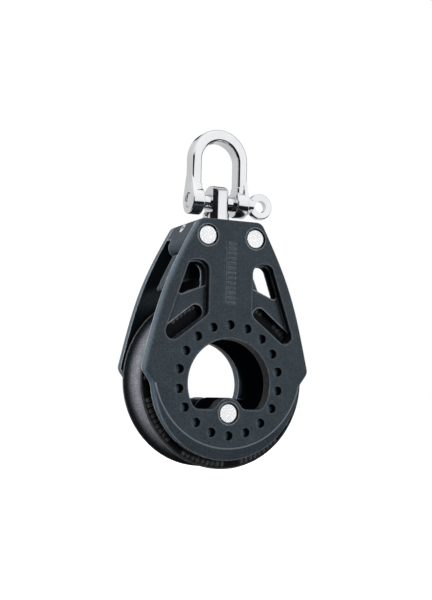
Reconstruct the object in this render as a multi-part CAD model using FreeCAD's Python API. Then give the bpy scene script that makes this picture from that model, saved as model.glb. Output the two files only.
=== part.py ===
import FreeCAD, Part
import math
import os

# Single ball-bearing sheave block with a swivelling shackle, in millimetres.
# Origin: centre of the sheave. X across the cheeks, Y along the sheave axis
# (front is -Y), Z up towards the shackle.

# ---------------------------------------------------------------- sheave
SHEAVE_R = 28.5          # flange radius, a 57 mm sheave
SHEAVE_HALF = 8.4        # half width over the flanges
GROOVE_ARC_R = 7.4       # radius of the rope groove
GROOVE_ARC_AT = 29.4     # radius at which the groove arc is centred
RACE_OUT_R = 19.72       # outer ball track, cut in the sheave
RIB_R = 17.3             # bore of the rib between the two ball rows
RIB_HALF = 3.0
MARK_COUNT = 96          # raised ticks moulded on each flange
MARK_R0 = 25.3
MARK_R1 = 27.3
MARK_H = 0.35
MARK_W = 0.75

# ---------------------------------------------------------------- bearing
BALL_R = 1.97
PITCH_R = 17.7
BALL_COUNT = 27
ROW_Y = 5.2
RACE_IN_R = 15.68        # outside of the hub, the inner ball track
RETAINER_R = 19.3
RETAINER_Y0 = 7.5
RETAINER_Y1 = 10.7

# ---------------------------------------------------------------- cheeks
CHEEK_IN = 9.2           # inner face
CHEEK_OUT = 13.0         # outer face
CHEEK_TOP = 51.8
CHEEK_LOW_R = 25.7       # lower round of the cheek
CHEEK_EDGE = 1.0         # rounding of the outer edge
CHEEK_LIP = 0.35         # rounding of the window edges
BEVEL_Z = 4.0            # centre of the conical bevel round the lower edge
BEVEL_R = 25.8           # radius where the bevel starts at the outer face
BEVEL_SLOPE = 0.42
# right side of the outline from the top corner down to the widest point
SIDE = [(10.9, 51.8), (13.3, 47.4), (17.3, 39.7), (20.8, 31.9), (23.6, 24.1),
        (25.8, 16.3), (27.7, 8.5), (29.0, 3.0)]
WINDOW_R = 14.3          # big centre opening
WINDOW_Z = -1.2
WINDOW_LOW = -9.3
HUB_FLAT_Z = -6.0        # flat of the hub web behind the opening
HUB_WEB_Y = 3.0          # where that web starts
DIMPLE_COUNT = 18        # blind dimples over the ball tracks
DIMPLE_R = 1.5
POCKET = [(7.9, 20.9), (7.9, 37.9), (14.5, 37.9), (24.9, 7.7)]   # side window outline
POCKET_FLOOR = 10.8      # recessed web of the side windows
BUMP_IN = 6.6            # inward reach of the window surround
SLOT_A = (11.45, 21.4)   # ends of the slanted slot at the foot of each window
SLOT_B = (19.8, 14.78)
SLOT_R = 2.38

# ---------------------------------------------------------------- rivets
HEAD_RIVET = (8.5, 46.2)
HUB_RIVET = (0.0, -10.6)
SHANK_R = 1.9
RIVET_HEAD_R = 3.15
RIVET_RECESS_R = 3.5
RIVET_FLOOR = 11.6
RIVET_FACE = 12.75

# ---------------------------------------------------------------- head and swivel
HEAD_BOTTOM = 40.4
HEAD_TOP = 51.7
POST_R = 4.4
POST_BOTTOM = 40.9
BUSH_IN_R = 4.46
BUSH_OUT_R = 5.2
GUARD_HALF = 2.0         # half thickness of the rope guard web under the head
GUARD_END = 4.0          # right end of the web, which only reaches down at the left
GUARD_R = 34.0           # its arched lower edge, clear of the line
SEAT_Z = 43.6            # ceiling of the counterbore under the head
SEAT_R = 6.2
RELIEF_X = 11.6          # core of the head between its two rear hollows
RELIEF_Y = 4.6           # depth behind the middle at which the hollows start
RELIEF_Z = 46.4          # underside of the full-width shoulder
LOCK_Z = 49.9            # lock screw, clear above the head rivet
LOCK_R = 1.1
INSERT_R = 1.5
LOCK_OUT = 11.6          # outer end of the lock screw at rest
SOCKET_R = 0.7           # hexagon socket, centre to corner

# ---------------------------------------------------------------- shackle
PIN_Z = 59.4
PIN_R = 2.5
PIN_BORE_R = 2.56
POST_TOP_R = 5.4         # rounded top of the post about the pin axis
POST_FLAT = 2.8          # half width over the flats
LEG_X = 8.4
LEG_W = 3.6
LEG_D = 5.7
LEG_ROUND = 1.05
CROWN_OUT_Z = 73.6       # centre of the bow's outer arc
CROWN_IN_Z = 73.1        # centre of its inner arc, so the crown is thicker than the legs
BOSS_R = 4.65
BOSS_IN = 6.0
BOSS_OUT = 10.3
EYE_X = 16.1
EYE_R = 4.4
EYE_T = 2.4
EYE_HOLE_R = 2.05

YDIR = FreeCAD.Vector(0, 1, 0)
XDIR = FreeCAD.Vector(1, 0, 0)


def at(x, y, z):
    return FreeCAD.Vector(x, y, z)


def prism(points, y0, y1):
    """Solid between y0 and y1 over a closed outline given as (x, z) points."""
    ring = [at(x, y0, z) for x, z in points]
    ring.append(ring[0])
    face = Part.Face(Part.makePolygon(ring))
    return face.extrude(at(0, y1 - y0, 0))


def disc(x, z, r, y0, y1):
    """Round solid along Y."""
    return Part.makeCylinder(r, y1 - y0, at(x, y0, z), YDIR)


def rod_x(y, z, r, x0, x1):
    """Round solid along X."""
    return Part.makeCylinder(r, x1 - x0, at(x0, y, z), XDIR)


def rod_z(x, y, r, z0, z1):
    """Round solid along Z."""
    return Part.makeCylinder(r, z1 - z0, at(x, y, z0))


def box(x0, x1, y0, y1, z0, z1):
    return Part.makeBox(x1 - x0, y1 - y0, z1 - z0, at(x0, y0, z0))


def along_y(edge):
    """True for a straight edge parallel to Y."""
    if not isinstance(edge.Curve, (Part.Line, Part.LineSegment)):
        return False
    d = edge.Vertexes[0].Point - edge.Vertexes[-1].Point
    return abs(d.x) < 1e-5 and abs(d.z) < 1e-5 and abs(d.y) > 0.2


def round_corners(solid, corners):
    """Round the Y-parallel edges nearest to each (x, z, radius)."""
    for x, z, r in corners:
        edges = [e for e in solid.Edges if along_y(e)]
        edges.sort(key=lambda e: math.hypot(e.CenterOfMass.x - x, e.CenterOfMass.z - z))
        solid = solid.makeFillet(r, [edges[0]])
    return solid


def mirror_x(shape):
    return shape.mirror(at(0, 0, 0), XDIR)


def mirror_y(shape):
    return shape.mirror(at(0, 0, 0), YDIR)


def first_solid(shape):
    shape = shape.removeSplitter()
    return sorted(shape.Solids, key=lambda s: -s.Volume)[0]


def outline_block(y0, y1):
    """The cheek outline as a plain slab: tapered upper part and round lower part."""
    right = [at(x, y0, z) for x, z in SIDE]
    left = [at(-x, y0, z) for x, z in SIDE]
    side = Part.BSplineCurve()
    side.interpolate(right)
    other = Part.BSplineCurve()
    other.interpolate(left)
    low = Part.makePolygon([right[-1], at(22.0, y0, -6.5), at(-22.0, y0, -6.5), left[-1]])
    top = Part.makePolygon([left[0], right[0]])
    wire = Part.Wire(Part.__sortEdges__([side.toShape(), other.toShape()] + low.Edges + top.Edges))
    slab = Part.Face(wire).extrude(at(0, y1 - y0, 0))
    slab = slab.fuse(disc(0, 0, CHEEK_LOW_R, y0, y1)).removeSplitter()
    corners = []
    for s in (-1, 1):
        corners.append((s * SIDE[0][0], SIDE[0][1], 3.0))
        corners.append((s * SIDE[-1][0], SIDE[-1][1], 3.0))
        corners.append((s * 25.4, -3.0, 5.0))
    return round_corners(slab, corners)


def window(y0, y1):
    """Centre opening of the cheek: a round with two lobes beside the lower boss."""
    hole = disc(0, WINDOW_Z, WINDOW_R, y0, y1)
    hole = hole.cut(box(-20, 20, y0 - 1, y1 + 1, -30, WINDOW_LOW))
    hole = hole.cut(disc(HUB_RIVET[0], HUB_RIVET[1], 5.0, y0 - 1, y1 + 1))
    corners = []
    for s in (-1, 1):
        corners.append((s * 11.8, WINDOW_LOW, 3.0))
        corners.append((s * 4.83, WINDOW_LOW, 2.6))
    return round_corners(hole, corners)


def pocket(y0, y1, grow=0.0):
    """Side window outline on the +X side, optionally grown by a wall."""
    (ax, az), (bx, bz), (cx, cz), (dx, dz) = POCKET
    pts = [(ax - grow, az), (bx - grow, bz + grow), (cx + grow * 0.7, cz + grow),
           (dx + grow * 1.3, dz - grow)]
    solid = prism(pts, y0, y1)
    return round_corners(solid, [(pts[0][0], pts[0][1], 3.0), (pts[1][0], pts[1][1], 3.2),
                                 (pts[2][0], pts[2][1], 2.6), (pts[3][0], pts[3][1], 2.5)])


def slot(y0, y1):
    """Slanted through slot along the lower side of the pocket."""
    dx = SLOT_B[0] - SLOT_A[0]
    dz = SLOT_B[1] - SLOT_A[1]
    n = math.hypot(dx, dz)
    px = -dz / n * SLOT_R
    pz = dx / n * SLOT_R
    bar = prism([(SLOT_A[0] + px, SLOT_A[1] + pz), (SLOT_B[0] + px, SLOT_B[1] + pz),
                 (SLOT_B[0] - px, SLOT_B[1] - pz), (SLOT_A[0] - px, SLOT_A[1] - pz)], y0, y1)
    bar = bar.fuse(disc(SLOT_A[0], SLOT_A[1], SLOT_R, y0, y1))
    return bar.fuse(disc(SLOT_B[0], SLOT_B[1], SLOT_R, y0, y1))


def upper_opening(y0, y1):
    """Through part of the pocket above its recessed web."""
    keep = prism([(0, 33.6), (30, 21.4), (30, 60), (0, 60)], y0 - 1, y1 + 1)
    inner = pocket(y0, y1, -0.35)
    return round_corners(inner.common(keep), [(8.3, 30.3, 0.5), (16.6, 26.9, 1.0)])


def lower_bevel():
    """Cutting tool for the shallow bevel that widens towards the bottom."""
    reach = 12.0
    pts = [at(BEVEL_R, CHEEK_OUT, 0), at(BEVEL_R + reach, CHEEK_OUT, 0),
           at(BEVEL_R + reach, CHEEK_OUT - reach * BEVEL_SLOPE, 0)]
    ring = Part.Face(Part.makePolygon(pts + pts[:1])).revolve(at(0, 0, 0), YDIR, 360)
    ring.translate(at(0, 0, BEVEL_Z))
    return ring.common(box(-60, 60, 0, 30, -60, -1.4))


def face_bars(y0, y1):
    """Row of raised moulding bars up the middle of the cheek face."""
    bars = []
    z = 24.5
    while z < 44.0:
        bars.append(box(-1.3, 1.5, y0, y1, z, z + 0.55))
        z += 1.6
    bars.append(box(-2.2, -1.9, y0, y1, 24.5, 44.2))
    return bars


def cheek(open_windows):
    """Cheek on the +Y side; with open_windows each pocket is cut through above its web."""
    slab = outline_block(CHEEK_IN, CHEEK_OUT)
    rim = [e for e in slab.Edges
           if all(abs(v.Point.y - CHEEK_OUT) < 1e-6 for v in e.Vertexes)]
    slab = slab.makeFillet(CHEEK_EDGE, rim)
    slab = slab.cut(lower_bevel())
    for s in (0, 1):
        bump = pocket(BUMP_IN, CHEEK_IN, 1.7)
        bump = bump.cut(disc(0, 0, SHEAVE_R + 0.9, BUMP_IN - 1, CHEEK_IN))
        bump = bump.cut(disc(HEAD_RIVET[0], HEAD_RIVET[1], 8.0, BUMP_IN - 1, CHEEK_IN))
        inner = [e for e in bump.Edges
                 if all(abs(v.Point.y - BUMP_IN) < 1e-6 for v in e.Vertexes)]
        bump = bump.makeFillet(0.5, inner)
        recess = pocket(POCKET_FLOOR, CHEEK_OUT + 1)
        opening = upper_opening(BUMP_IN - 1, CHEEK_OUT + 1)
        low = slot(CHEEK_IN - 1, CHEEK_OUT + 1)
        if s:
            bump = mirror_x(bump)
            recess = mirror_x(recess)
            opening = mirror_x(opening)
            low = mirror_x(low)
        tools = [low]
        if open_windows:
            slab = slab.fuse(bump)
            tools.append(opening)
        slab = slab.cut(recess.fuse(tools))
    slab = slab.cut(window(CHEEK_IN - 1, CHEEK_OUT + 1))
    seat = disc(0, 0, RETAINER_R + 0.3, CHEEK_IN - 1, RETAINER_Y1)
    seat = seat.cut(disc(0, 0, RACE_IN_R, CHEEK_IN - 2, RETAINER_Y1 + 1))
    slab = slab.cut(seat)
    tools = []
    for i in range(DIMPLE_COUNT):
        a = math.radians(90 + i * 360.0 / DIMPLE_COUNT)
        tools.append(disc(PITCH_R * math.cos(a), PITCH_R * math.sin(a), DIMPLE_R,
                          CHEEK_IN, CHEEK_OUT + 1))
    for x, z in rivet_places():
        tools.append(disc(x, z, SHANK_R, CHEEK_IN - 1, CHEEK_OUT + 1))
        tools.append(disc(x, z, RIVET_RECESS_R, RIVET_FLOOR, CHEEK_OUT + 1))
    slab = first_solid(slab.cut(Part.makeCompound(tools)))
    slab = slab.makeFillet(CHEEK_LIP, lip_edges(slab))
    slab = slab.fuse(face_bars(CHEEK_OUT - 0.2, CHEEK_OUT + 0.12))
    return first_solid(slab)


def lip_edges(slab):
    """Edges of the windows and the centre opening where they meet the outer face."""
    picked = []
    for e in slab.Edges:
        if not all(abs(v.Point.y - CHEEK_OUT) < 1e-6 for v in e.Vertexes):
            continue
        if abs(e.BoundBox.YLength) > 1e-6:
            continue
        c = e.CenterOfMass
        r = math.hypot(c.x, c.z)
        small = e.Length < 25 and isinstance(e.Curve, Part.Circle) and e.Curve.Radius < 3.6
        in_window = r < 16.0 and not (small and e.Curve.Radius == RIVET_RECESS_R)
        in_pocket = 7.0 < abs(c.x) < 24.0 and 10.0 < c.z < 39.0 and r > 19.5
        on_rim = abs(c.x) > 15.0 and r > 25.0 and abs(c.x) > 24.5
        if small and abs(e.Curve.Radius - DIMPLE_R) < 1e-6:
            continue
        if in_window or (in_pocket and not on_rim and not near_outline(c)):
            picked.append(e)
    return picked


def near_outline(c):
    """True for a point on the cheek's own outer edge rather than in a pocket."""
    for (xa, za), (xb, zb) in zip(SIDE, SIDE[1:]):
        if zb <= c.z <= za:
            edge_x = xa + (xb - xa) * (za - c.z) / (za - zb)
            return edge_x - abs(c.x) < 2.2
    return False


def rivet_places():
    return [(-HEAD_RIVET[0], HEAD_RIVET[1]), HEAD_RIVET, HUB_RIVET]


def rivet(x, z):
    """Stainless rivet with a flat head at each end, sunk in the cheek recess."""
    shank = disc(x, z, SHANK_R, -RIVET_FACE, RIVET_FACE)
    heads = []
    for s in (-1, 1):
        y0 = min(s * RIVET_FLOOR, s * RIVET_FACE)
        y1 = max(s * RIVET_FLOOR, s * RIVET_FACE)
        head = disc(x, z, RIVET_HEAD_R, y0, y1)
        rim = [e for e in head.Edges if abs(e.CenterOfMass.y - s * RIVET_FACE) < 1e-6]
        heads.append(head.makeChamfer(0.3, rim))
    return first_solid(shank.fuse(heads))


def hub():
    """Inner race core clamped between the cheeks, with its flat lower web at the rear."""
    core = disc(0, 0, RACE_IN_R, -CHEEK_IN, CHEEK_IN)
    core = core.cut(window(-CHEEK_IN - 1, HUB_WEB_Y))
    bore = disc(0, WINDOW_Z, WINDOW_R, HUB_WEB_Y, CHEEK_IN + 1)
    bore = bore.cut(box(-20, 20, HUB_WEB_Y - 1, CHEEK_IN + 2, -30, HUB_FLAT_Z))
    core = core.cut(bore)
    core = core.cut(disc(HUB_RIVET[0], HUB_RIVET[1], SHANK_R, -CHEEK_IN - 1, CHEEK_IN + 1))
    return first_solid(core)


def retainer():
    """Ring that keeps one ball row in its track."""
    ring = disc(0, 0, RETAINER_R, RETAINER_Y0, RETAINER_Y1)
    ring = ring.cut(disc(0, 0, RACE_IN_R, RETAINER_Y0 - 1, RETAINER_Y1 + 1))
    rim = [e for e in ring.Edges
           if abs(e.CenterOfMass.y - RETAINER_Y0) < 1e-6 and e.BoundBox.XLength > 38.0]
    return first_solid(ring.makeChamfer(0.3, rim))


def ball_row(y):
    balls = []
    for i in range(BALL_COUNT):
        a = i * 2 * math.pi / BALL_COUNT
        balls.append(Part.makeSphere(BALL_R, at(PITCH_R * math.cos(a), y, PITCH_R * math.sin(a))))
    return Part.makeCompound(balls)


def sheave():
    """Grooved wheel: two thin flanges, a round rope groove and a ribbed ball bore."""
    half = math.sqrt(GROOVE_ARC_R ** 2 - (GROOVE_ARC_AT - SHEAVE_R) ** 2)
    pts = [at(RIB_R, -RIB_HALF, 0), at(RACE_OUT_R, -RIB_HALF, 0),
           at(RACE_OUT_R, -SHEAVE_HALF + 0.5, 0), at(RACE_OUT_R + 0.5, -SHEAVE_HALF, 0),
           at(SHEAVE_R - 0.3, -SHEAVE_HALF, 0), at(SHEAVE_R, -SHEAVE_HALF + 0.3, 0),
           at(SHEAVE_R, -half, 0)]
    groove = Part.Arc(pts[-1], at(GROOVE_ARC_AT - GROOVE_ARC_R, 0, 0), at(SHEAVE_R, half, 0))
    back = [at(p.x, -p.y, 0) for p in reversed(pts)]
    edges = Part.makePolygon(pts).Edges
    edges.append(groove.toShape())
    edges += Part.makePolygon(back).Edges
    edges.append(Part.makeLine(back[-1], pts[0]))
    wheel = Part.Face(Part.Wire(edges)).revolve(at(0, 0, 0), YDIR, 360)
    wheel = Part.Solid(wheel.Shells[0]) if not wheel.Solids else wheel.Solids[0]
    marks = []
    for s in (-1, 1):
        for i in range(MARK_COUNT):
            if i % 12 > 8:
                continue
            y0 = SHEAVE_HALF - 0.2 if s > 0 else -SHEAVE_HALF - MARK_H
            bar = Part.makeBox(MARK_R1 - MARK_R0, 0.2 + MARK_H, MARK_W, at(MARK_R0, y0, -MARK_W / 2))
            bar.rotate(at(0, 0, 0), YDIR, i * 360.0 / MARK_COUNT)
            marks.append(bar)
    return first_solid(wheel.fuse(marks))


def rope_guard():
    """Arched web that hangs from the head and reaches down beside the sheave at the left."""
    top = HEAD_BOTTOM + 0.1
    web = prism([(GUARD_END, top), (-14.4, top), (-20.2, 28.4), (GUARD_END, 28.4)],
                -GUARD_HALF, GUARD_HALF)
    web = web.cut(disc(0, 0, GUARD_R, -5, 5))
    low_z = math.sqrt(GUARD_R ** 2 - GUARD_END ** 2)
    return round_corners(web, [(-19.9, 28.6, 0.9), (GUARD_END, low_z, 1.5)])


def shoulder_relief(s):
    """Rear hollow in the head's side, below its full-width shoulder."""
    x0 = min(s * RELIEF_X, s * 30)
    hollow = Part.makeBox(30 - RELIEF_X, 20 - RELIEF_Y, RELIEF_Z - 30, at(x0, RELIEF_Y, 30))
    inner = []
    for e in hollow.Edges:
        c = e.CenterOfMass
        near = [abs(c.x - s * RELIEF_X) < 1e-6, abs(c.y - RELIEF_Y) < 1e-6,
                abs(c.z - RELIEF_Z) < 1e-6]
        if sum(near) >= 2:
            inner.append(e)
    return hollow.makeFillet(2.0, inner)


def head_block():
    """Solid head between the cheeks that carries the swivel."""
    block = outline_block(-CHEEK_IN, CHEEK_IN)
    block = block.common(box(-20, 20, -20, 20, HEAD_BOTTOM, HEAD_TOP))
    feet = [e for e in block.Edges
            if e.BoundBox.YLength > CHEEK_IN and abs(e.CenterOfMass.z - HEAD_BOTTOM) < 1e-4]
    block = block.makeFillet(3.0, feet)
    for s in (-1, 1):
        block = block.cut(shoulder_relief(s))
    block = block.cut(rod_z(0, 0, BUSH_OUT_R, HEAD_BOTTOM - 1, HEAD_TOP + 1))
    block = block.cut(rod_z(0, 0, SEAT_R, HEAD_BOTTOM - 1, SEAT_Z))
    block = block.fuse(rope_guard())
    for x, z in rivet_places()[:2]:
        block = block.cut(disc(x, z, SHANK_R, -20, 20))
    block = block.cut(rod_x(0, LOCK_Z, INSERT_R, -20, 0))
    return first_solid(block)


def swivel_bush():
    """Plain bush that the swivel post turns in."""
    bush = rod_z(0, 0, BUSH_OUT_R, SEAT_Z, HEAD_TOP)
    bush = bush.cut(rod_z(0, 0, BUSH_IN_R, SEAT_Z - 1, HEAD_TOP + 1))
    return first_solid(bush.cut(rod_x(0, LOCK_Z, INSERT_R, -20, 0)))


def thrust_washer():
    ring = rod_z(0, 0, 5.9, SEAT_Z - 0.8, SEAT_Z)
    return first_solid(ring.cut(rod_z(0, 0, BUSH_IN_R, SEAT_Z - 2, SEAT_Z + 1)))


def retaining_ring():
    """Open spring ring in the groove near the lower end of the post."""
    ring = rod_z(0, 0, 5.5, 41.5, 42.4)
    ring = ring.cut(rod_z(0, 0, 3.5, 41, 43))
    return first_solid(ring.cut(box(-1.1, 1.1, -7, 0, 41, 43)))


def lock_insert():
    """Threaded insert for the swivel lock screw, flush with the head's slope."""
    sleeve = rod_x(0, LOCK_Z, INSERT_R, -20, -BUSH_IN_R - 0.1)
    sleeve = sleeve.common(outline_block(-CHEEK_IN, CHEEK_IN))
    sleeve = sleeve.cut(rod_x(0, LOCK_Z, LOCK_R + 0.05, -20, 0))
    return first_solid(sleeve)


def lock_screw():
    """Socket set screw; at rest its point stands clear of the post."""
    screw = rod_x(0, LOCK_Z, LOCK_R, -LOCK_OUT, -5.1)
    screw = screw.makeChamfer(0.3, [e for e in screw.Edges if abs(e.CenterOfMass.x + 5.1) < 1e-6])
    ring = []
    for i in range(6):
        a = math.radians(60 * i)
        ring.append(at(-LOCK_OUT, SOCKET_R * math.cos(a), LOCK_Z + SOCKET_R * math.sin(a)))
    ring.append(ring[0])
    socket = Part.Face(Part.makePolygon(ring)).extrude(at(1.4, 0, 0))
    return first_solid(screw.cut(socket))


def swivel_post():
    """Round post with a flat-sided eye for the shackle pin."""
    post = rod_z(0, 0, POST_R, POST_BOTTOM, 66.0)
    cap = rod_x(0, PIN_Z, POST_TOP_R, -POST_FLAT, POST_FLAT)
    rims = [e for e in cap.Edges if e.BoundBox.XLength < 1e-6]
    cap = cap.makeFillet(0.6, rims)
    cap = cap.fuse(box(-10, 10, -10, 10, POST_BOTTOM, PIN_Z))
    post = post.common(cap)
    flats = []
    for s in (-1, 1):
        x0 = POST_FLAT if s > 0 else -20
        x1 = 20 if s > 0 else -POST_FLAT
        flat = box(x0, x1, -10, 10, 55.6, 70)
        edge = [e for e in flat.Edges
                if abs(e.CenterOfMass.z - 55.6) < 1e-6 and abs(e.CenterOfMass.x - s * POST_FLAT) < 1e-6]
        flats.append(flat.makeFillet(0.35, edge))
    post = post.cut(Part.makeCompound(flats))
    post = post.cut(rod_x(0, PIN_Z, PIN_BORE_R, -10, 10))
    groove = rod_z(0, 0, 6, 41.5, 42.4).cut(rod_z(0, 0, 3.5, 41, 43))
    post = post.cut(groove)
    low = [e for e in post.Edges if e.BoundBox.ZMax < POST_BOTTOM + 1e-6]
    post = post.makeChamfer(0.3, low)
    return first_solid(post)


def bow_half_outline(w):
    """Closed U outline of the bow as a face in the XZ plane."""
    out = LEG_X + w / 2
    inn = LEG_X - w / 2
    y = -LEG_D / 2
    edges = [
        Part.makeLine(at(-out, y, PIN_Z), at(-out, y, CROWN_OUT_Z)),
        Part.Arc(at(-out, y, CROWN_OUT_Z), at(0, y, CROWN_OUT_Z + out),
                 at(out, y, CROWN_OUT_Z)).toShape(),
        Part.makeLine(at(out, y, CROWN_OUT_Z), at(out, y, PIN_Z)),
        Part.makeLine(at(out, y, PIN_Z), at(inn, y, PIN_Z)),
        Part.makeLine(at(inn, y, PIN_Z), at(inn, y, CROWN_IN_Z)),
        Part.Arc(at(inn, y, CROWN_IN_Z), at(0, y, CROWN_IN_Z + inn),
                 at(-inn, y, CROWN_IN_Z)).toShape(),
        Part.makeLine(at(-inn, y, CROWN_IN_Z), at(-inn, y, PIN_Z)),
        Part.makeLine(at(-inn, y, PIN_Z), at(-out, y, PIN_Z)),
    ]
    return Part.Face(Part.Wire(edges))


def boss_flare(s):
    """Outer cheek of a boss, drawn up tangentially into the leg."""
    x0 = min(s * 8.8, s * (LEG_X + LEG_W / 2))
    half = LEG_D / 2 - 0.6
    ring = [at(x0, -4.45, PIN_Z + 1.3), at(x0, -half, PIN_Z + 8.6), at(x0, half, PIN_Z + 8.6),
            at(x0, 4.45, PIN_Z + 1.3)]
    ring.append(ring[0])
    plate = Part.Face(Part.makePolygon(ring)).extrude(at(LEG_X + LEG_W / 2 - 8.8, 0, 0))
    return plate


def shackle_bow():
    """Forged U with an eye boss at the foot of each leg."""
    bow = bow_half_outline(LEG_W).extrude(at(0, LEG_D, 0))
    rails = [e for e in bow.Edges if abs(abs(e.CenterOfMass.y) - LEG_D / 2) < 1e-6
             and e.CenterOfMass.z > PIN_Z + 0.5]
    bow = bow.makeFillet(LEG_ROUND, rails)
    for s in (-1, 1):
        x0 = BOSS_IN if s > 0 else -BOSS_OUT
        x1 = BOSS_OUT if s > 0 else -BOSS_IN
        boss = rod_x(0, PIN_Z, BOSS_R, x0, x1)
        boss = boss.makeFillet(0.5, boss.Edges[0:1] + boss.Edges[2:3])
        collar = box(s * LEG_X - 2.0, s * LEG_X + 2.0, -3.05, 3.05, PIN_Z + 3.4, PIN_Z + 5.6)
        collar = collar.makeFillet(0.9, [e for e in collar.Edges if e.BoundBox.ZLength > 1.0])
        collar = collar.makeFillet(0.4, [e for e in collar.Edges if e.BoundBox.ZMin > PIN_Z + 5.5])
        bow = bow.fuse([boss, collar, boss_flare(s)])
    bow = bow.cut(rod_x(0, PIN_Z, PIN_BORE_R, -20, 20))
    return first_solid(bow)


def shackle_pin():
    """Pin with a thumb eye; its plain end stops just inside the far boss."""
    pin = rod_x(0, PIN_Z, PIN_R, -9.9, 13.0)
    tip = [e for e in pin.Edges if abs(e.CenterOfMass.x + 9.9) < 1e-6]
    pin = pin.makeChamfer(0.4, tip)
    collar = rod_x(0, PIN_Z, 3.3, BOSS_OUT + 0.3, BOSS_OUT + 1.2)
    eye = disc(EYE_X, PIN_Z, EYE_R, -EYE_T / 2, EYE_T / 2)
    eye = eye.makeFillet(0.55, [e for e in eye.Edges if e.BoundBox.XLength > 5])
    pin = pin.fuse([collar, eye])
    hole = disc(EYE_X, PIN_Z, EYE_HOLE_R, -5, 5)
    return first_solid(pin.cut(hole))


def build():
    rear = cheek(False)
    ret = retainer()
    row = ball_row(ROW_Y)
    return {
        "front_cheek": mirror_y(cheek(True)),
        "rear_cheek": rear,
        "head_block": head_block(),
        "swivel_bush": swivel_bush(),
        "swivel_thrust_washer": thrust_washer(),
        "swivel_retaining_ring": retaining_ring(),
        "swivel_post": swivel_post(),
        "lock_screw_insert": lock_insert(),
        "lock_screw": lock_screw(),
        "left_head_rivet": rivet(-HEAD_RIVET[0], HEAD_RIVET[1]),
        "right_head_rivet": rivet(HEAD_RIVET[0], HEAD_RIVET[1]),
        "hub_rivet": rivet(HUB_RIVET[0], HUB_RIVET[1]),
        "hub": hub(),
        "front_ball_retainer": mirror_y(ret),
        "rear_ball_retainer": ret,
        "front_ball_row": ball_row(-ROW_Y),
        "rear_ball_row": row,
        "sheave": sheave(),
        "shackle_bow": shackle_bow(),
        "shackle_pin": shackle_pin(),
    }


os.makedirs("parts", exist_ok=True)
for node, shape in build().items():
    shape.exportStep("parts/" + node + ".step")
    box_now = shape.BoundBox
    print("%-24s solids %2d valid %s vol %9.1f  x %6.2f..%6.2f y %6.2f..%6.2f z %6.2f..%6.2f" % (
        node, len(shape.Solids), shape.isValid(), shape.Volume, box_now.XMin, box_now.XMax,
        box_now.YMin, box_now.YMax, box_now.ZMin, box_now.ZMax))
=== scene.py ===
import math

import bpy
import bmesh
from mathutils import Matrix, Vector


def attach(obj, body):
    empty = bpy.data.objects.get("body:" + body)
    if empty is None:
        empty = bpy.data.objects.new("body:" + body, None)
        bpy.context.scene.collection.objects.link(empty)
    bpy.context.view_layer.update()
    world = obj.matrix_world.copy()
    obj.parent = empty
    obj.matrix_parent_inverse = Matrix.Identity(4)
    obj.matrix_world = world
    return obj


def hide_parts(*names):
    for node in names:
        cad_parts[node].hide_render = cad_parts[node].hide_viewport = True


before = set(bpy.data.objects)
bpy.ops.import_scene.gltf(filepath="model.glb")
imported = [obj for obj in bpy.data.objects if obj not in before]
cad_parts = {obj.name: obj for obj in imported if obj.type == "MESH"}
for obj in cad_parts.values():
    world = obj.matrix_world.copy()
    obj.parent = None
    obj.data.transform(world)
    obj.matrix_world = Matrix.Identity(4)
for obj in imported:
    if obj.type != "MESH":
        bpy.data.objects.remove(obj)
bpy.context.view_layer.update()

MM = 0.001

# ---------------------------------------------------------------- camera
AZ = math.radians(24.9)     # the camera stands this far to the left
EL = math.radians(5.3)      # and this far below, looking up
ROLL = math.radians(1.27)
DIST = 0.3583
TARGET = Vector((0.0007, 0.0, 0.0267))
LENS = 64.6                 # focal length and sensor width, both in millimetres
SENSOR = 36.0
NEAR = 0.01


def add_camera():
    look = Vector((math.sin(AZ) * math.cos(EL), math.cos(AZ) * math.cos(EL), math.sin(EL)))
    right = look.cross(Vector((0, 0, 1))).normalized()
    up = right.cross(look)
    rolled_right = math.cos(ROLL) * right + math.sin(ROLL) * up
    rolled_up = -math.sin(ROLL) * right + math.cos(ROLL) * up
    cam = bpy.data.objects.new("camera", bpy.data.cameras.new("camera"))
    bpy.context.collection.objects.link(cam)
    cam.data.lens = LENS
    cam.data.sensor_width = SENSOR
    cam.data.clip_start = NEAR
    turn = Matrix((rolled_right, rolled_up, -look)).transposed().to_4x4()
    cam.matrix_world = Matrix.Translation(TARGET - look * DIST) @ turn
    bpy.context.scene.camera = cam


# ---------------------------------------------------------------- node helpers
# In each of these, t is the node tree, and a value is a number or another node's socket.
def new_material(name):
    m = bpy.data.materials.new(name)
    m.use_nodes = True
    return m, m.node_tree, m.node_tree.nodes["Principled BSDF"]


def coords(t):
    return t.nodes.new("ShaderNodeTexCoord").outputs["Object"]


def split(t, vec):
    n = t.nodes.new("ShaderNodeSeparateXYZ")
    t.links.new(vec, n.inputs[0])
    return n.outputs["X"], n.outputs["Y"], n.outputs["Z"]


def stretch(t, vec, scale):
    n = t.nodes.new("ShaderNodeMapping")
    n.inputs["Scale"].default_value = scale
    t.links.new(vec, n.inputs["Vector"])
    return n.outputs["Vector"]


def noise(t, vec, scale, detail=4.0, rough=0.55):
    n = t.nodes.new("ShaderNodeTexNoise")
    n.inputs["Scale"].default_value = scale
    n.inputs["Detail"].default_value = detail
    n.inputs["Roughness"].default_value = rough
    t.links.new(vec, n.inputs["Vector"])
    return n.outputs["Fac"]


def ramp(t, fac, stops):
    n = t.nodes.new("ShaderNodeValToRGB")
    elements = n.color_ramp.elements
    while len(elements) < len(stops):
        elements.new(0.5)
    for e, (pos, col) in zip(elements, stops):
        e.position = pos
        e.color = (*col, 1.0)
    t.links.new(fac, n.inputs["Fac"])
    return n.outputs["Color"]


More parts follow.
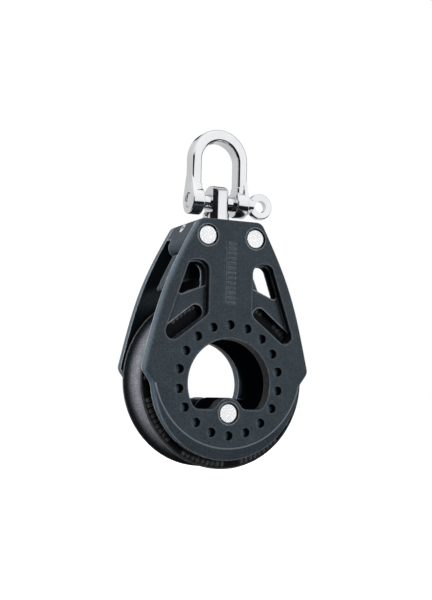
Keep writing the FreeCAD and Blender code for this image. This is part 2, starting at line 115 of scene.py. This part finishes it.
def remap(t, value, from_min, from_max, to_min, to_max):
    n = t.nodes.new("ShaderNodeMapRange")
    n.inputs["From Min"].default_value = from_min
    n.inputs["From Max"].default_value = from_max
    n.inputs["To Min"].default_value = to_min
    n.inputs["To Max"].default_value = to_max
    t.links.new(value, n.inputs["Value"])
    return n.outputs["Result"]


def bump(t, height, strength, distance, normal=None):
    n = t.nodes.new("ShaderNodeBump")
    n.inputs["Strength"].default_value = strength
    n.inputs["Distance"].default_value = distance
    t.links.new(height, n.inputs["Height"])
    if normal is not None:
        t.links.new(normal, n.inputs["Normal"])
    return n.outputs["Normal"]


def rounded(t, radius):
    """The surface's normal, with its edges rounded to this radius."""
    n = t.nodes.new("ShaderNodeBevel")
    n.samples = SHADER_SAMPLES
    n.inputs["Radius"].default_value = radius
    return n.outputs["Normal"]


def maths(t, kind, a, b=0.0):
    n = t.nodes.new("ShaderNodeMath")
    n.operation = kind
    for socket, v in zip(n.inputs, (a, b)):
        if isinstance(v, (int, float)):
            socket.default_value = v
        else:
            t.links.new(v, socket)
    return n.outputs[0]


def mix(t, fac, a, b, blend="MIX"):
    n = t.nodes.new("ShaderNodeMix")
    n.data_type = "RGBA"
    n.blend_type = blend
    for key, v in (("Factor", fac), ("A", a), ("B", b)):
        if isinstance(v, (int, float, tuple)):
            n.inputs[key].default_value = v
        else:
            t.links.new(v, n.inputs[key])
    return n.outputs["Result"]


def multiply(t, a, b):
    return mix(t, 1.0, a, b, "MULTIPLY")


def grey(v):
    return (v, v, v)


def scaled(col, k):
    return tuple(c * k for c in col)


# ---------------------------------------------------------------- materials
SHADER_SAMPLES = 8
EDGE_RADIUS = 0.4 * MM      # rounding of the moulded edges
EDGE_HIGHLIGHT_RADIUS = 0.9 * MM      # reach of the painted highlight line along an edge
RECESS_SHADE_REACH = 4.0 * MM     # depth over which recesses are painted darker: painted shade
GROOVE_SHADE_REACH = 1.2 * MM     # the same for the sheave, whose groove is open
FLOOR_SHADE_REACH = 0.2 * MM      # the same for the retainers, the floors of the dimples

DIMPLE_RING = (15.9 * MM, 19.6 * MM)    # the dimples lie between these radii
BEVEL_CENTRE = 4.0 * MM     # height of the centre that the cheek's lower bevel runs round
BEVEL_START = 25.8 * MM     # radius at which that bevel leaves the flat face
BEVEL_TOP = -1.4 * MM       # height at which it ends
OUTER_FACE = 12.5 * MM      # the cheeks' outer faces are further than this from the middle

GROOVE_ROOT = 2.4 * MM      # the groove's root and edge, and the flanges' outer faces,
GROOVE_EDGE = 7.4 * MM      # as distances from the sheave's middle plane
FLANGE_FACE = 8.0 * MM
GROOVE_HIGHLIGHT = (14.0, 10.4, 9.4)           # how much paler than the sheave the painted highlight band in the groove is


def nylon(name, base, rough, spec, edge_highlight, grain=1.0, painted_light=None, reach=RECESS_SHADE_REACH,
          shape_edge_highlight=None):
    """Glass-filled nylon: fine spark-eroded grain, slight mottling, painted shade in recesses,
    painted highlight lines along the edges.
    """
    m, t, b = new_material(name)
    vec = coords(t)
    col = ramp(t, noise(t, vec, 160.0, 5.0),
               [(0.32, scaled(base, 0.88)), (0.68, scaled(base, 1.12))])
    speck = ramp(t, noise(t, vec, 2600.0, 1.0),
                 [(0.34, grey(1.0 - 0.30 * grain)), (0.5, grey(1.0)),
                  (0.66, grey(1.0 + 0.42 * grain))])
    col = multiply(t, col, speck)
    if painted_light:
        col = multiply(t, col, painted_light(t))

    # painted shade: recesses are darkened in the colour by ambient occlusion; a piece with
    # painted light of its own is only shaded by itself
    shade = t.nodes.new("ShaderNodeAmbientOcclusion")
    shade.samples = SHADER_SAMPLES
    shade.only_local = painted_light is not None
    shade.inputs["Distance"].default_value = reach
    recess_shade = ramp(t, shade.outputs["AO"],
                [(0.30, grey(0.05)), (0.62, grey(0.4)), (0.82, grey(1.0))])
    col = multiply(t, col, recess_shade)

    # painted highlight along the edges: an edge is where the rounded normal leaves the true one
    edge = t.nodes.new("ShaderNodeVectorMath")
    edge.operation = "DOT_PRODUCT"
    t.links.new(rounded(t, EDGE_HIGHLIGHT_RADIUS), edge.inputs[0])
    t.links.new(t.nodes.new("ShaderNodeNewGeometry").outputs["Normal"], edge.inputs[1])
    edge_line = remap(t, edge.outputs["Value"], 0.994, 0.93, 0.0, edge_highlight)
    patchy = remap(t, noise(t, vec, 700.0, 3.0), 0.35, 0.6, 0.55, 1.0)
    edge_line = maths(t, "MULTIPLY", edge_line, patchy)
    if shape_edge_highlight:
        edge_line = shape_edge_highlight(t, edge_line)
    highlight_tone = tuple(c * 3.0 + 0.13 for c in base)
    t.links.new(mix(t, edge_line, col, (*highlight_tone, 1.0)), b.inputs["Base Color"])

    sheen = remap(t, noise(t, vec, 900.0, 3.0), 0.3, 0.7, rough - 0.05, rough + 0.06)
    t.links.new(sheen, b.inputs["Roughness"])
    fine = bump(t, noise(t, vec, 3600.0, 2.0), 0.35 * grain, 0.1 * MM,
                rounded(t, EDGE_RADIUS))
    coarse = bump(t, noise(t, vec, 420.0, 3.0), 0.10 * grain, 0.2 * MM, fine)
    t.links.new(coarse, b.inputs["Normal"])
    b.inputs["Specular IOR Level"].default_value = spec
    return m


def radius_from(t, x, z, height):
    """Distance in the XZ plane from the point at this height on the Z axis."""
    rise = maths(t, "SUBTRACT", z, height)
    squares = maths(t, "ADD", maths(t, "MULTIPLY", x, x), maths(t, "MULTIPLY", rise, rise))
    return maths(t, "SQRT", squares)


def cheek_edge_highlight(t, edge_line):
    """Leave the dimples' rims without the painted edge highlight, and add a painted highlight
    line where the lower bevel starts.
    """
    x, y, z = split(t, coords(t))
    centre = radius_from(t, x, z, 0.0)
    ring = maths(t, "MULTIPLY", maths(t, "GREATER_THAN", centre, DIMPLE_RING[0]),
                 maths(t, "LESS_THAN", centre, DIMPLE_RING[1]))
    edge_line = maths(t, "MULTIPLY", edge_line, remap(t, ring, 0.0, 1.0, 1.0, 0.15))
    off = maths(t, "SUBTRACT", radius_from(t, x, z, BEVEL_CENTRE), BEVEL_START)
    line = remap(t, maths(t, "ABSOLUTE", off), 0.35 * MM, 0.1 * MM, 0.0, 0.45)
    line = maths(t, "MULTIPLY", line, maths(t, "LESS_THAN", z, BEVEL_TOP))
    outer = maths(t, "GREATER_THAN", maths(t, "ABSOLUTE", y), OUTER_FACE)
    return maths(t, "MAXIMUM", edge_line, maths(t, "MULTIPLY", line, outer))


def groove_painted_light(t):
    """Painted highlight: a pale band on each flank of the groove, darker at the groove's edge,
    with fine cross marks; painted shade on the flanges' outer faces.
    """
    vec = coords(t)
    side = maths(t, "ABSOLUTE", split(t, vec)[1])
    depth = remap(t, side, GROOVE_EDGE, GROOVE_ROOT, 0.0, 1.0)
    band = ramp(t, depth, [(0.0, grey(0.5)), (0.07, grey(2.0)), (0.18, GROOVE_HIGHLIGHT),
                           (0.36, GROOVE_HIGHLIGHT), (0.6, grey(2.0)), (1.0, grey(1.0))])
    across = stretch(t, vec, (2600.0, 160.0, 2600.0))
    marks = remap(t, noise(t, across, 1.0, 2.0), 0.3, 0.7, 0.72, 1.1)
    # painted shade on the flanges' outer faces, which lie under the cheeks
    face = remap(t, side, GROOVE_EDGE, FLANGE_FACE, 1.0, 0.3)
    return multiply(t, multiply(t, band, marks), face)


def steel(name, rough, metal=1.0):
    """Stainless steel with faint buffing lines and handling haze."""
    m, t, b = new_material(name)
    vec = coords(t)
    b.inputs["Metallic"].default_value = metal
    tone = ramp(t, noise(t, vec, 120.0), [(0.3, (0.74, 0.75, 0.77)), (0.7, (0.83, 0.84, 0.86))])
    t.links.new(tone, b.inputs["Base Color"])
    haze = noise(t, vec, 260.0, 5.0, 0.65)
    t.links.new(remap(t, haze, 0.35, 0.75, rough, rough + 0.10), b.inputs["Roughness"])
    lines = noise(t, stretch(t, vec, (9000.0, 900.0, 700.0)), 1.0, 2.0)
    t.links.new(bump(t, lines, 0.04, 0.04 * MM), b.inputs["Normal"])
    return m


def plain(name, base, rough):
    """Smooth plastic for the pieces inside."""
    m, t, b = new_material(name)
    vec = coords(t)
    col = ramp(t, noise(t, vec, 300.0), [(0.3, scaled(base, 0.9)), (0.7, base)])
    t.links.new(col, b.inputs["Base Color"])
    b.inputs["Roughness"].default_value = rough
    t.links.new(bump(t, noise(t, vec, 2500.0), 0.1, 0.05 * MM), b.inputs["Normal"])
    return m


CHEEK_BASE = (0.0195, 0.0267, 0.0332)
HUB_BASE = (0.009, 0.015, 0.021)
mats = {
    "cheek": nylon("cheek_nylon", CHEEK_BASE, rough=0.45, spec=0.15, edge_highlight=0.8,
                   shape_edge_highlight=cheek_edge_highlight),
    # the head's nylon is the cheeks' at half brightness: painted shade for its place between the
    # cheeks
    "head": nylon("head_nylon", scaled(CHEEK_BASE, 0.5), rough=0.45, spec=0.08, edge_highlight=0.4),
    "hub": nylon("hub_nylon", HUB_BASE, rough=0.7, spec=0.0, edge_highlight=0.6),
    "sheave": nylon("sheave_nylon", scaled(CHEEK_BASE, 0.45), rough=0.40, spec=0.06, edge_highlight=0.4,
                    grain=0.8, painted_light=groove_painted_light, reach=GROOVE_SHADE_REACH),
    # the retainers' nylon is the cheeks' at 2.2 times the brightness: painted light, so the
    # shaded dimple floors look lit
    "retainer": nylon("retainer_nylon", scaled(CHEEK_BASE, 2.2), rough=0.5, spec=0.1, edge_highlight=0.0,
                      reach=FLOOR_SHADE_REACH),
    "steel": steel("polished_stainless", rough=0.05),
    "rivet": steel("rivet_stainless", rough=0.18, metal=0.93),
    "ball": plain("ball_plastic", (0.7, 0.69, 0.64), rough=0.3),
    "bush": plain("bush_acetal", (0.03, 0.03, 0.032), rough=0.35),
}


# ---------------------------------------------------------------- the block
# CAD nodes kept as they are, with a finish
KEPT = {
    "swivel_bush": "bush",
    "swivel_thrust_washer": "rivet",
    "swivel_retaining_ring": "rivet",
    "lock_screw_insert": "rivet",
    "front_ball_retainer": "retainer",
    "rear_ball_retainer": "retainer",
    "front_ball_row": "ball",
    "rear_ball_row": "ball",
}

# faces that meet at more than this many degrees keep a crisp crease between them
CREASE = 26.0
CHEEK_CREASE = 19.5

# nodes whose visible surface is rebuilt with clean shading: node, body, slot, finish, crease
SKINS = [
    ("front_cheek", "block_frame", "black_nylon", "cheek", CHEEK_CREASE),
    ("rear_cheek", "block_frame", "black_nylon", "cheek", CHEEK_CREASE),
    ("head_block", "block_frame", "black_nylon", "head", CREASE),
    ("hub", "block_frame", "black_nylon", "hub", CREASE),
    ("left_head_rivet", "block_frame", "stainless", "rivet", CREASE),
    ("right_head_rivet", "block_frame", "stainless", "rivet", CREASE),
    ("hub_rivet", "block_frame", "stainless", "rivet", CREASE),
    ("lock_screw", "lock", "stainless", "rivet", CREASE),
    ("sheave", "wheel", "sheave_plastic", "sheave", CREASE),
    ("swivel_post", "post", "stainless", "steel", CREASE),
    ("shackle_bow", "shackle", "stainless", "steel", CREASE),
    ("shackle_pin", "pin", "stainless", "steel", CREASE),
]
WELD = 2e-6                 # vertices closer than this are one
SLIVER = 1e-7               # edges shorter than this go
NORMAL_WEIGHT = 80


def skin(node, body, slot, key, crease):
    """Same shape as the CAD node, with sharp creases kept and area-weighted normals elsewhere."""
    bm = bmesh.new()
    bm.from_mesh(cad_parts[node].data)
    bmesh.ops.remove_doubles(bm, verts=bm.verts, dist=WELD)
    bmesh.ops.dissolve_degenerate(bm, edges=bm.edges, dist=SLIVER)
    limit = math.radians(crease)
    for e in bm.edges:
        e.smooth = len(e.link_faces) == 2 and e.calc_face_angle(0.0) < limit
    for f in bm.faces:
        f.smooth = True
        f.material_index = 0
    mesh = bpy.data.meshes.new(node + "_skin")
    bm.to_mesh(mesh)
    bm.free()
    mesh.materials.append(mats[key])
    obj = bpy.data.objects.new(node + "_skin", mesh)
    bpy.context.collection.objects.link(obj)
    mod = obj.modifiers.new("weighted", "WEIGHTED_NORMAL")
    mod.keep_sharp = True
    mod.weight = NORMAL_WEIGHT
    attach(obj, body)
    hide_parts(node)


def dress_nodes():
    for node, key in KEPT.items():
        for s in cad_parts[node].material_slots:
            s.material = mats[key]
    for row in SKINS:
        skin(*row)


# ---------------------------------------------------------------- surroundings
# Directions round the block are in degrees: 0 is the front, 90 the left side, -90 the right.
FLOOR_Z = -29.2 * MM
FLOOR_RADII = (0.5, 1.5, 4.0)
FLOOR_SEGMENTS = 64
FLOOR_GLOW = 0.93           # brings the floor up to the white of the surroundings

# what the studio looks like in a mirror: brightness by height and by direction
SKY_RISE = [(-90, 0.7), (-50, 0.7), (-40, 0.75), (0, 0.9), (30, 0.95), (90, 1.0)]
SKY_TURN = [(-180, 0.78), (-100, 0.8), (-60, 1.16), (3, 1.14), (90, 0.9), (150, 0.76),
            (180, 0.78)]
# dark flags in it: strength by direction, then by height
FLAGS = [
    ([(5, 0), (10, 1), (76, 1), (84, 0)], [(-90, 1), (14, 1), (24, 0)]),
    ([(-176, 0), (-170, 1), (-112, 1), (-100, 0)], [(-3, 0), (1, 1), (38, 1), (50, 0)]),
    ([(-120, 0), (-100, 1), (110, 1), (130, 0)], [(-52, 0), (-44, 1), (-15, 1), (-9, 0)]),
]
FLAG_TONE = (0.01, 0.01, 0.012, 1.0)
AMBIENT = 0.14              # the share of the studio's light that reaches matt surfaces
BLACK = (0.0, 0.0, 0.0, 1.0)
WHITE = (1.0, 1.0, 1.0, 1.0)

# soft panels: name, direction, degrees up, distance, height aimed at, width, length, watts
PANELS = [
    ("strip", 97, 8, 1.0, 0.02, 0.26, 0.9, 58.0),
    ("front", -22, 8, 1.2, 0.02, 0.6, 0.6, 22.0),
    ("under", -5, -40, 1.0, 0.0, 0.5, 0.5, 6.0),
    ("top", 150, 62, 1.1, 0.02, 0.6, 0.6, 6.0),
]


def add_floor():
    """Plain white floor that meets the white surroundings at the horizon."""
    bm = bmesh.new()
    rows = []
    for radius in FLOOR_RADII:
        row = []
        for i in range(FLOOR_SEGMENTS):
            a = 2 * math.pi * i / FLOOR_SEGMENTS
            row.append(bm.verts.new((radius * math.cos(a), radius * math.sin(a), FLOOR_Z)))
        rows.append(row)
    middle = bm.verts.new((0, 0, FLOOR_Z))
    for i in range(FLOOR_SEGMENTS):
        j = (i + 1) % FLOOR_SEGMENTS
        bm.faces.new((middle, rows[0][i], rows[0][j]))
        for near, far in zip(rows, rows[1:]):
            bm.faces.new((near[i], far[i], far[j], near[j]))
    mesh = bpy.data.meshes.new("floor")
    bm.to_mesh(mesh)
    bm.free()
    obj = bpy.data.objects.new("floor", mesh)
    bpy.context.collection.objects.link(obj)
    m, _, b = new_material("floor_white")
    b.inputs["Base Color"].default_value = (0.4, 0.4, 0.4, 1)
    b.inputs["Roughness"].default_value = 0.9
    b.inputs["Specular IOR Level"].default_value = 0.1
    b.inputs["Emission Color"].default_value = WHITE
    b.inputs["Emission Strength"].default_value = FLOOR_GLOW
    mesh.materials.append(m)
    obj.visible_glossy = False
    obj.visible_diffuse = False


def turn_stops(pairs):
    """Ramp stops from (direction, brightness)."""
    return [((d + 180.0) / 360.0, grey(v)) for d, v in pairs]


def rise_stops(pairs):
    """Ramp stops from (degrees above the horizon, brightness)."""
    return [(0.5 + 0.5 * math.sin(math.radians(d)), grey(v)) for d, v in pairs]


def add_world():
    """White to the eye; in reflections a studio with dark flags and a dark band below."""
    world = bpy.data.worlds.new("studio")
    bpy.context.scene.world = world
    world.use_nodes = True
    t = world.node_tree
    x, y, z = split(t, t.nodes.new("ShaderNodeTexCoord").outputs["Generated"])
    direction = maths(t, "ARCTAN2", maths(t, "MULTIPLY", x, -1.0),
                      maths(t, "MULTIPLY", y, -1.0))
    turn = remap(t, direction, -math.pi, math.pi, 0.0, 1.0)
    rise = remap(t, z, -1.0, 1.0, 0.0, 1.0)
    col = multiply(t, ramp(t, rise, rise_stops(SKY_RISE)), ramp(t, turn, turn_stops(SKY_TURN)))
    for by_turn, by_rise in FLAGS:
        dark = maths(t, "MULTIPLY", ramp(t, turn, turn_stops(by_turn)),
                     ramp(t, rise, rise_stops(by_rise)))
        col = mix(t, dark, col, FLAG_TONE)
    ray = t.nodes.new("ShaderNodeLightPath")
    col = mix(t, ray.outputs["Is Diffuse Ray"], col, mix(t, AMBIENT, BLACK, col))
    col = mix(t, ray.outputs["Is Camera Ray"], col, WHITE)
    t.links.new(col, t.nodes["Background"].inputs["Color"])


def add_panel(name, turn, rise, dist, aim, width, length, watts):
    """Soft panel that lights matt surfaces and isn't seen in polished ones."""
    light = bpy.data.lights.new(name, "AREA")
    light.energy = watts
    light.shape = "RECTANGLE"
    light.size = width
    light.size_y = length
    obj = bpy.data.objects.new(name, light)
    bpy.context.collection.objects.link(obj)
    a, e = math.radians(turn), math.radians(rise)
    obj.location = (-math.sin(a) * math.cos(e) * dist, -math.cos(a) * math.cos(e) * dist,
                    math.sin(e) * dist)
    ray = Vector((0, 0, aim)) - obj.location
    obj.rotation_euler = ray.to_track_quat("-Z", "Y").to_euler()
    obj.visible_glossy = False


add_camera()
dress_nodes()
add_floor()
add_world()
for panel in PANELS:
    add_panel(*panel)
bpy.context.scene.view_settings.view_transform = "Standard"
